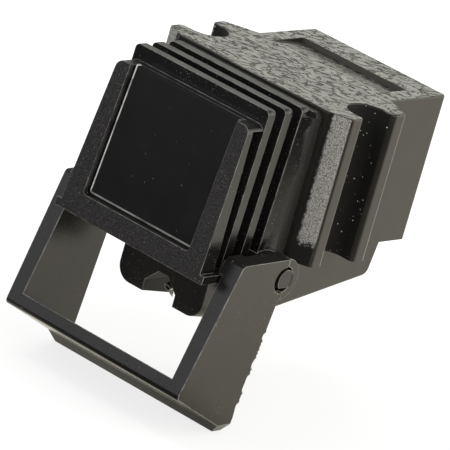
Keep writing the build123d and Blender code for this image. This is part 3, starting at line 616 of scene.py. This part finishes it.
def ear_colour(tree, spot, zone, pits):
    """A slanted ear face: pale and stippled where it is scuffed, with a painted sheen in the pale, black at
    its inner border, and painted shade at its foot.
    """
    cloud = noise_at(tree, spot, 4.0, detail=5.0, roughness=0.7)
    ragged = math_node(tree, "MULTIPLY", math_node(tree, "SUBTRACT", cloud, 0.5), SCUFF_RAGGED)
    side = past(tree, math_node(tree, "ADD", zone["out_x"], ragged), SCUFF_SIDE)
    ragged_foot = math_node(tree, "MULTIPLY", ragged, SCUFF_RAGGED_FOOT)
    # painted shade: the foot of the slant turns black
    foot = past(tree, math_node(tree, "ADD", zone["z"], ragged_foot), EAR_SHADE_FOOT)
    # the scuffed pale is scuffing and also a painted sheen
    scuffed = blend(tree, ramp(tree, pits, (0.42, 0.58)), SCUFF_DARK, SCUFF_AND_SHEEN_LIGHT)
    return blend(tree, math_node(tree, "MULTIPLY", side, foot), EAR_TONE, scuffed)


def body_colour(tree, spot, zone, leather, pits, flakes):
    """The colours of the body's zones: painted shade in the creases, on the notches and at the ears' foot,
    painted light on the pocket's rear wall, and pale rubbed edges with a painted highlight.
    """
    # painted shade: the creases of the grain are darkened in the colour
    colour = blend(tree, leather, mottled(tree, spot, BODY_DARK, BODY_LIGHT), CREASE_SHADE_TONE)
    flaked = blend(tree, ramp(tree, flakes, (0.44, 0.58)), FLAKE_DARK, FLAKE_LIGHT)
    colour = blend(tree, math_node(tree, "MULTIPLY", zone["pocket"], FLAKE_SHARE), colour, flaked)
    # painted light: the pocket's rear wall is lighter, against the shade that falls on it
    colour = blend(tree, zone["wall"], colour, WALL_PAINTED_LIGHT)
    colour = blend(tree, zone["ear"], colour, ear_colour(tree, spot, zone, pits))
    # painted shade: the screw notches are near black, with specks of real dust on them
    colour = blend(tree, zone["notch"], colour, dusted(tree, spot, NOTCH_SHADE_TONE, NOTCH_DUST))
    return rubbed_highlit_edges(tree, spot, colour, BODY_RUBBED_HIGHLIGHT)


print("body tones from", BODY_DARK, "to", BODY_LIGHT)

# %% Body plastic
BODY_GLOSS = (0.12, 0.24)
TOP_DULL, EAR_DULL, CREASE_DULL, WALL_DULL = 0.14, 0.62, 0.25, 0.5


def grained_body():
    """The body's plastic: leather grain on top, a flaked pocket, stippled ears and dull screw notches."""
    made, tree, shader = new_material("body_plastic")
    coords = tree.nodes.new("ShaderNodeTexCoord").outputs
    spot = coords["Object"]
    zone = body_zones(tree, coords)
    leather, pits, flakes = body_patterns(tree, spot, zone)
    tree.links.new(body_relief(tree, zone, leather, pits, flakes), shader.inputs["Normal"])
    tree.links.new(body_colour(tree, spot, zone, leather, pits, flakes), shader.inputs["Base Color"])
    roughness = worn_gloss(tree, spot, BODY_GLOSS)
    dull_faces = math_node(tree, "MAXIMUM", zone["ear"], zone["notch"])
    for share, dullness in (
        (zone["top"], TOP_DULL), (dull_faces, EAR_DULL), (leather, CREASE_DULL), (zone["wall"], WALL_DULL),
    ):
        roughness = math_node(tree, "ADD", roughness, math_node(tree, "MULTIPLY", share, dullness))
    tree.links.new(roughness, shader.inputs["Roughness"])
    return made


body_plastic = grained_body()
print("body:", len(body_plastic.node_tree.nodes), "nodes")

# %% [markdown]
# ## Metals, and a finish for every node
# The pins are plated, the screen is folded sheet, the coils are copper and the cantilever is a drawn tube.
# Most of it hides inside the body. A plain metal colour would do at a distance. Faint streaks along the
# drawing direction cost one noise and make each piece look made, so one recipe with streaks serves them
# all.

# %% Metals
STREAK_STRETCH = (6.0, 1.0, 6.0)
STREAK_DEPTH, STREAK_STRENGTH = 0.01 * MM, 0.2


def metal(name, dark, light, gloss, scale):
    """A metal with a drawn or plated surface."""
    made, tree, shader = new_material(name)
    shader.inputs["Metallic"].default_value = 1.0
    spot = tree.nodes.new("ShaderNodeTexCoord").outputs["Object"]
    drawn = add(tree, "ShaderNodeMapping", Vector=spot, Scale=STREAK_STRETCH)
    streak = noise_at(tree, drawn.outputs[0], scale, detail=4.0)
    tree.links.new(blend(tree, streak, dark, light), shader.inputs["Base Color"])
    tree.links.new(ramp(tree, streak, (0.3, 0.7), *gloss), shader.inputs["Roughness"])
    bump = add(tree, "ShaderNodeBump", Height=streak, Strength=STREAK_STRENGTH, Distance=STREAK_DEPTH)
    tree.links.new(bump.outputs[0], shader.inputs["Normal"])
    return made


METALS = {
    "pin_plating": ((0.78, 0.56, 0.24), (0.9, 0.7, 0.36), (0.15, 0.3), 2.0),
    "screen_metal": ((0.5, 0.5, 0.48), (0.62, 0.61, 0.58), (0.25, 0.4), 1.0),
    "core_iron": ((0.38, 0.37, 0.36), (0.52, 0.5, 0.48), (0.35, 0.5), 2.0),
    "coil_copper": ((0.62, 0.25, 0.12), (0.8, 0.36, 0.18), (0.2, 0.35), 4.0),
    "socket_metal": ((0.55, 0.54, 0.52), (0.68, 0.67, 0.64), (0.25, 0.4), 1.5),
    "shank_metal": ((0.5, 0.5, 0.5), (0.66, 0.65, 0.63), (0.25, 0.4), 1.5),
    "wire_steel": ((0.6, 0.6, 0.6), (0.75, 0.75, 0.75), (0.2, 0.3), 3.0),
    "cantilever_alloy": ((0.75, 0.75, 0.74), (0.88, 0.88, 0.87), (0.18, 0.3), 3.0),
    "magnet_alloy": ((0.3, 0.3, 0.31), (0.42, 0.42, 0.43), (0.35, 0.5), 2.0),
}
metals = {name: metal(name, *recipe) for name, recipe in METALS.items()}
print("metals:", len(metals))

# %% A finish for every node
SMALL_PARTS = {
    "terminal_plastic": ((0.02, 0.02, 0.02), (0.03, 0.03, 0.03), (0.3, 0.45), 0.4),
    "bobbin_plastic": ((0.55, 0.5, 0.4), (0.68, 0.62, 0.5), (0.35, 0.5), 0.3),
    "bearing_rubber": ((0.012, 0.012, 0.012), (0.03, 0.03, 0.03), (0.6, 0.8), 0.6),
    "tip_stone": ((0.5, 0.48, 0.42), (0.7, 0.68, 0.62), (0.03, 0.08), 0.1),
}
FINISH = {
    "body_plastic": body_plastic,
    "holder_plastic": holder_plastic,
    "guard_plastic": guard_plastic,
    "plate_plastic": plate_plastic,
    **{name: moulded(name, *recipe) for name, recipe in SMALL_PARTS.items()},
    **metals,
}
slots = {entry["node"]: entry["material_slot"] for entry in frame["record"]["subparts"]}
for name, node in nodes.items():
    node.data.materials.clear()
    node.data.materials.append(FINISH[slots[name]])
print("finishes:", len(FINISH), "on", len(slots), "nodes")

# %% [markdown]
# ## Soft moulded edges
# No moulding comes out of its tool with knife edges. Each visible moulding is copied, its flat faces are
# made whole, and its edges are rounded by a few hundredths of a millimetre, which catch the light as fine
# bright lines. A Bevel modifier could round them. Doing it on the mesh also marks the rounds, so that a
# finish can paint them pale, as rubbing and as a painted highlight along those lines.

# %% Clean copies
SAME_PLACE = 0.0005
FLAT_ANGLE = math.radians(0.6)


def clean_copy(node):
    """A node's mesh in millimetres, with its flat faces made whole again."""
    work = bmesh.new()
    work.from_mesh(nodes[node].data)
    work.transform(Matrix.Scale(1 / MM, 4))
    bmesh.ops.remove_doubles(work, verts=work.verts, dist=SAME_PLACE)
    bmesh.ops.dissolve_limit(work, angle_limit=FLAT_ANGLE, verts=work.verts, edges=work.edges)
    return work


def within(value, span):
    """Whether a value lies inside a span."""
    low, high = span
    return low < value < high


sample = clean_copy("body_shell")
print("body_shell faces:", len(nodes["body_shell"].data.polygons), "then", len(sample.faces))
sample.free()

# %% Rounded edges
FLAT_MARK = "broad_flat"
ROUND_SEGMENTS = 2
SHARP_ANGLE, CREASE_ANGLE, FLAT_CREASE_ANGLE = (math.radians(angle) for angle in (28, 25, 1))
BROAD = 0.35
FLARE_X, FLARE_Y, FLARE_Z = 4.4, (-4.2, -3.1), (-1.6, -0.1)


def round_edges(work, radius, clear):
    """Rounds the sharp edges that meet no edge as short as clear, marks the rounds, and gives them back.
    The rounds at the flare behind the ribs stay unmarked, so that they get neither the pale rubbing nor the
    painted highlight."""
    def roomy(edge):
        """Whether every edge that meets this one is long enough to be cut back."""
        return min(other.calc_length() for vert in edge.verts for other in vert.link_edges) > clear

    mark = work.faces.layers.float.new(EDGE_MARK)
    sharp = [
        edge for edge in work.edges
        if len(edge.link_faces) == 2 and edge.calc_face_angle() > SHARP_ANGLE and roomy(edge)
    ]
    made = bmesh.ops.bevel(
        work, geom=sharp, offset=radius, offset_type="OFFSET", segments=ROUND_SEGMENTS, profile=0.5,
        affect="EDGES", clamp_overlap=True)
    for face in made["faces"]:
        middle = face.calc_center_median()
        at_flare = abs(middle.x) > FLARE_X and within(middle.y, FLARE_Y) and within(middle.z, FLARE_Z)
        face[mark] = 0.0 if at_flare else 1.0
    return set(made["faces"])


def soften(work, radius, clear):
    """Rounds the edges, marks the broad flats and sets which of the other edges stay sharp."""
    rounds = round_edges(work, radius, clear)
    flat = work.faces.layers.float.new(FLAT_MARK)
    for face in work.faces:
        wide = face.calc_area() / max(e.calc_length() for e in face.edges) > BROAD
        face[flat] = 1.0 if wide and face not in rounds else 0.0
    for edge in work.edges:
        if len(edge.link_faces) == 2 and not rounds.intersection(edge.link_faces):
            large = all(face[flat] for face in edge.link_faces)
            edge.smooth = edge.calc_face_angle() < (FLAT_CREASE_ANGLE if large else CREASE_ANGLE)
    bmesh.ops.triangulate(work, faces=[f for f in work.faces if len(f.verts) > 4])


print("rounds of", ROUND_SEGMENTS, "segments on edges over", round(math.degrees(SHARP_ANGLE)), "degrees")

# %% True flats
SAME_SIDE, PARALLEL = 0.8, 0.9999


def true_flats(mesh):
    """Gives the broad flats their own normal, up to the first line of each edge round."""
    mark = mesh.attributes[FLAT_MARK].data
    flats = {}
    for face in mesh.polygons:
        if mark[face.index].value > 0.5:
            for vert in face.vertices:
                flats.setdefault(vert, []).append(face.normal.copy())
    normals = [corner.vector.copy() for corner in mesh.corner_normals]
    for face in mesh.polygons:
        for corner in face.loop_indices:
            near = flats.get(mesh.loops[corner].vertex_index, [])
            if mark[face.index].value > 0.5:
                normals[corner] = face.normal.copy()
            elif near and face.normal.dot(near[0]) > SAME_SIDE:
                if all(other.dot(near[0]) > PARALLEL for other in near):
                    normals[corner] = near[0]
    mesh.normals_split_custom_set(normals)


def plain_mesh(piece, name):
    """Puts the evaluated mesh in place of an object's modifiers."""
    bpy.context.view_layer.update()
    plain = bpy.data.meshes.new_from_object(piece.evaluated_get(bpy.context.evaluated_depsgraph_get()))
    piece.modifiers.clear()
    piece.data = plain
    plain.name = name
    print(name, "triangles:", sum(len(p.vertices) - 2 for p in plain.polygons))
    return plain


print("helpers: true_flats, plain_mesh")

# %% [markdown]
# ## The chipped guard and the raised arch
# The rear edge of the guard's right arm is worn and chipped on the real one. A displaced texture would need
# a very fine mesh over the whole guard. Cutting only that edge into short stretches and pushing some of
# them in gives chips with clean corners. The arch under the holder is raised at its rear, where the
# cantilever moves up.

# %% Chips and arch
ARM_INNER = 5.5
WORN_LOW, WORN_HIGH = Vector((0, -5.15, -18.45)), Vector((0, -4.33, -10.99))
STATIONS, STATION_GAP, ON_EDGE = 60, 0.012, 0.004
CHIPPED_SHARE, FADE_LOW, FADE_HIGH = (0.04, 0.86), 12, 8
CHIP_DEPTH, CHIP_PITCH, CHIP_LEVEL = 0.11, 12, 0.02
CRUMB_DEPTH, CRUMB_PITCH = 0.035, 37
ROOF_X, ROOF_Y, ROOF_Z, ROOF_LIFT = 0.5, (-4.7, -4.5), (-12.25, -12.1), 0.3


def chip_edge(work):
    """Nibbles the rear edge of the guard's right arm."""
    run = WORN_HIGH - WORN_LOW
    outward = Vector((0, run.z, -run.y)).normalized()
    for i in range(1, STATIONS):
        arm = [f for f in work.faces if all(v.co.x > ARM_INNER for v in f.verts)]
        geom = set(arm)
        for face in arm:
            geom.update(face.edges, face.verts)
        cut = WORN_LOW + run * i / STATIONS
        bmesh.ops.bisect_plane(work, geom=list(geom), dist=STATION_GAP, plane_co=cut, plane_no=run)
    for vert in work.verts:
        offset = vert.co - WORN_LOW
        share = offset.dot(run) / run.length_squared
        if vert.co.x > ARM_INNER and abs(offset.dot(outward)) < ON_EDGE and within(share, CHIPPED_SHARE):
            low, high = CHIPPED_SHARE
            chip = CHIP_DEPTH if noise.noise(Vector((share * CHIP_PITCH, 0.3, 1.7))) > CHIP_LEVEL else 0.0
            crumb = CRUMB_DEPTH * abs(noise.noise(Vector((share * CRUMB_PITCH, 4.1, 0.2))))
            fade = min(1, (share - low) * FADE_LOW, (high - share) * FADE_HIGH)
            vert.co -= outward * fade * (chip + crumb)
    bmesh.ops.dissolve_limit(work, angle_limit=FLAT_ANGLE, verts=work.verts, edges=work.edges)


def relieve_arch(work):
    """Raises the rear of the holder's arch, so that the cantilever clears it when it flexes up."""
    for vert in work.verts:
        if abs(vert.co.x) < ROOF_X and within(vert.co.y, ROOF_Y) and within(vert.co.z, ROOF_Z):
            vert.co.z += ROOF_LIFT


print("worn edge:", round((WORN_HIGH - WORN_LOW).length, 2), "mm in", STATIONS, "stretches")

# %% [markdown]
# ## The four mouldings
# The body, the holder, the plate and the guard are the mouldings that show. Each copy takes the place of
# its CAD node and rides on the same body. Smooth shading alone would bend the light over the broad faces.
# Normals weighted by area, with the flats set exactly, keep the flats flat and only the rounds round.

# %% Mouldings
FACE_WEIGHT = 80
PREPARE = {"stylus_guard": chip_edge, "stylus_grip": relieve_arch}


def finish_piece(work, node, body):
    """Turns the work into an object in metres that rides on a body and stands for its node."""
    work.transform(Matrix.Scale(MM, 4))
    name = "moulded_" + node
    mesh = bpy.data.meshes.new(name)
    work.to_mesh(mesh)
    work.free()
    mesh.shade_smooth()
    piece = bpy.data.objects.new(name, mesh)
    bpy.context.collection.objects.link(piece)
    weighted = piece.modifiers.new("face_weights", "WEIGHTED_NORMAL")
    weighted.weight = FACE_WEIGHT
    weighted.keep_sharp = True
    plain = plain_mesh(piece, name)
    true_flats(plain)
    plain.materials.clear()
    plain.materials.append(FINISH[slots[node]])
    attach(piece, body)
    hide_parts(node)


for node, body, radius, clear in (
    ("body_shell", "cartridge_body", 0.045, 0.05),
    ("stylus_grip", "stylus_holder", 0.05, 0.0),
    ("name_plate", "stylus_holder", 0.015, 0.0),
    ("stylus_guard", "guard", 0.045, 0.0),
):
    work = clean_copy(node)
    if node in PREPARE:
        PREPARE[node](work)
    soften(work, radius, clear)
    finish_piece(work, node, body)

# %% [markdown]
# ## Windings
# Inside the body four coils of thin copper wire turn the stylus's movement into a signal. A coil is one
# long spiral. Rings could be stacked instead, but a curve draws the spiral itself, and a small circle
# follows the curve. One winding is made and then set on four points, because the four bobbins stand on the
# corners of a rectangle.

# %% Geometry node helpers
def new_tree(name, **sizes):
    """An empty Geometry Nodes tree with named inputs."""
    tree = bpy.data.node_groups.new(name, "GeometryNodeTree")
    tree.interface.new_socket("Geometry", in_out="OUTPUT", socket_type="NodeSocketGeometry")
    tree.interface.new_socket("Geometry", in_out="INPUT", socket_type="NodeSocketGeometry")
    for label, value in sizes.items():
        kind = "NodeSocketInt" if isinstance(value, int) else "NodeSocketFloat"
        tree.interface.new_socket(label, in_out="INPUT", socket_type=kind).default_value = value
    return tree, tree.nodes.new("NodeGroupInput").outputs


def close_tree(tree, geometry, material):
    """Ends a tree: instances become real meshes with a material."""
    real = add(tree, "GeometryNodeRealizeInstances", Geometry=geometry)
    coated = add(tree, "GeometryNodeSetMaterial", Geometry=real.outputs[0], Material=material)
    add(tree, "NodeGroupOutput", Geometry=coated.outputs[0])


def grow(name, tree, body, mesh, material, **values):
    """Runs a tree on a mesh with its inputs set, and keeps a plain mesh of it that rides on a body."""
    piece = bpy.data.objects.new(name, mesh)
    bpy.context.collection.objects.link(piece)
    modifier = piece.modifiers.new("tree", "NODES")
    modifier.node_group = tree
    for item in tree.interface.items_tree:
        if item.in_out == "INPUT" and item.name in values:
            modifier[item.identifier] = values[item.name]
    plain = plain_mesh(piece, name)
    plain.materials.clear()
    plain.materials.append(material)
    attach(piece, body)
    return piece


print("helpers: new_tree, close_tree, grow")

# %% Coil windings
WINDING = {
    "Turns": 26.0, "Radius": 1.42 * MM, "Wire": 0.05 * MM, "Length": 2.7 * MM,
    "Across": 3.5 * MM, "Up": 3.3 * MM,
}
COILS_MIDDLE = (0, 0.8 * MM, -4.6 * MM)
TURN_POINTS, WIRE_SIDES = 28, 6
QUARTER_TURN = math.pi / 2

tree, sizes = new_tree("windings", **WINDING)
spiral = add(tree, "GeometryNodeCurveSpiral", Resolution=TURN_POINTS, Rotations=sizes["Turns"],
             Start_Radius=sizes["Radius"], End_Radius=sizes["Radius"], Height=sizes["Length"])
wire = add(tree, "GeometryNodeCurvePrimitiveCircle", Resolution=WIRE_SIDES, Radius=sizes["Wire"])
thread = add(tree, "GeometryNodeCurveToMesh", Curve=spiral.outputs[0], Profile_Curve=wire.outputs[0],
             Fill_Caps=True)
lying = add(tree, "GeometryNodeTransform", Geometry=thread.outputs[0], Rotation=(-QUARTER_TURN, 0, 0))
grid = add(tree, "GeometryNodeMeshGrid", Size_X=sizes["Across"], Size_Y=sizes["Up"],
           Vertices_X=2, Vertices_Y=2)
posts = add(tree, "GeometryNodeTransform", Geometry=grid.outputs[0], Rotation=(QUARTER_TURN, 0, 0),
            Translation=COILS_MIDDLE)
four = add(tree, "GeometryNodeInstanceOnPoints", Points=posts.outputs[0], Instance=lying.outputs[0])
close_tree(tree, four.outputs[0], FINISH["coil_copper"])
coils = grow("copper_windings", tree, "cartridge_body", bpy.data.meshes.new("windings_start"),
             FINISH["coil_copper"], **WINDING)

# %% [markdown]
# ## Dust
# The photograph shows a used cartridge: pale grains of dust lie in the screw notches and on the ledge under
# the ribs. Grains could be set by hand. Points scattered on just those faces with a fixed seed come out the
# same each time, and each point gets a small rough ball of its own size.

# %% Dust
DUST = {"Grains": 0.0, "Grain": 0.03 * MM, "Seed": 5}
NOTCH_GRAINS, LEDGE_GRAINS = 2.0e6, 3.0e6
NOTCH_SEED, LEDGE_SEED = 5, 8
SMALLEST, LARGEST = 0.4, 1.4
NOTCH_HALF, NOTCH_INNER, NOTCH_STEEPNESS = 1.4, 4.9, 0.4
LEDGE_Z, LEDGE_LEVEL = (-9.7, -9.3), 0.9


def faces_of(node, wanted):
    """A mesh of only the faces of a node whose normal and every corner, in millimetres, pass a test."""
    work = clean_copy(node)
    others = [f for f in work.faces if not all(wanted(v.co, f.normal) for v in f.verts)]
    bmesh.ops.delete(work, geom=others, context="FACES")
    work.transform(Matrix.Scale(MM, 4))
    mesh = bpy.data.meshes.new("dusty_" + node)
    work.to_mesh(mesh)
    work.free()
    return mesh


def in_notch(corner, normal):
    """Whether a corner of an upright face lies in a screw notch."""
    return abs(corner.y) < NOTCH_HALF and abs(corner.x) > NOTCH_INNER and abs(normal.z) < NOTCH_STEEPNESS


def on_ledge(corner, normal):
    """Whether a corner of a level face lies on the ledge under the ribs."""
    return normal.z > LEDGE_LEVEL and within(corner.z, LEDGE_Z)


tree, sizes = new_tree("dust", **DUST)
spots = add(tree, "GeometryNodeDistributePointsOnFaces", Mesh=sizes["Geometry"], Density=sizes["Grains"],
            Seed=sizes["Seed"])
grain = add(tree, "GeometryNodeMeshIcoSphere", Radius=sizes["Grain"], Subdivisions=1)
spread = add(tree, "FunctionNodeRandomValue", _2=SMALLEST, _3=LARGEST, Seed=sizes["Seed"])
strewn = add(tree, "GeometryNodeInstanceOnPoints", Points=spots.outputs["Points"], Instance=grain.outputs[0],
             Scale=spread.outputs[1])
grey_dust = moulded("grey_dust", (0.4, 0.39, 0.37), (0.8, 0.79, 0.76), (0.6, 0.9), scratch=0.5)
close_tree(tree, strewn.outputs[0], grey_dust)
for name, body, node, wanted, grains, seed in (
    ("notch_dust", "cartridge_body", "body_shell", in_notch, NOTCH_GRAINS, NOTCH_SEED),
    ("ledge_dust", "stylus_holder", "stylus_grip", on_ledge, LEDGE_GRAINS, LEDGE_SEED),
):
    grow(name, tree, body, faces_of(node, wanted), grey_dust, Grains=grains, Grain=DUST["Grain"], Seed=seed)
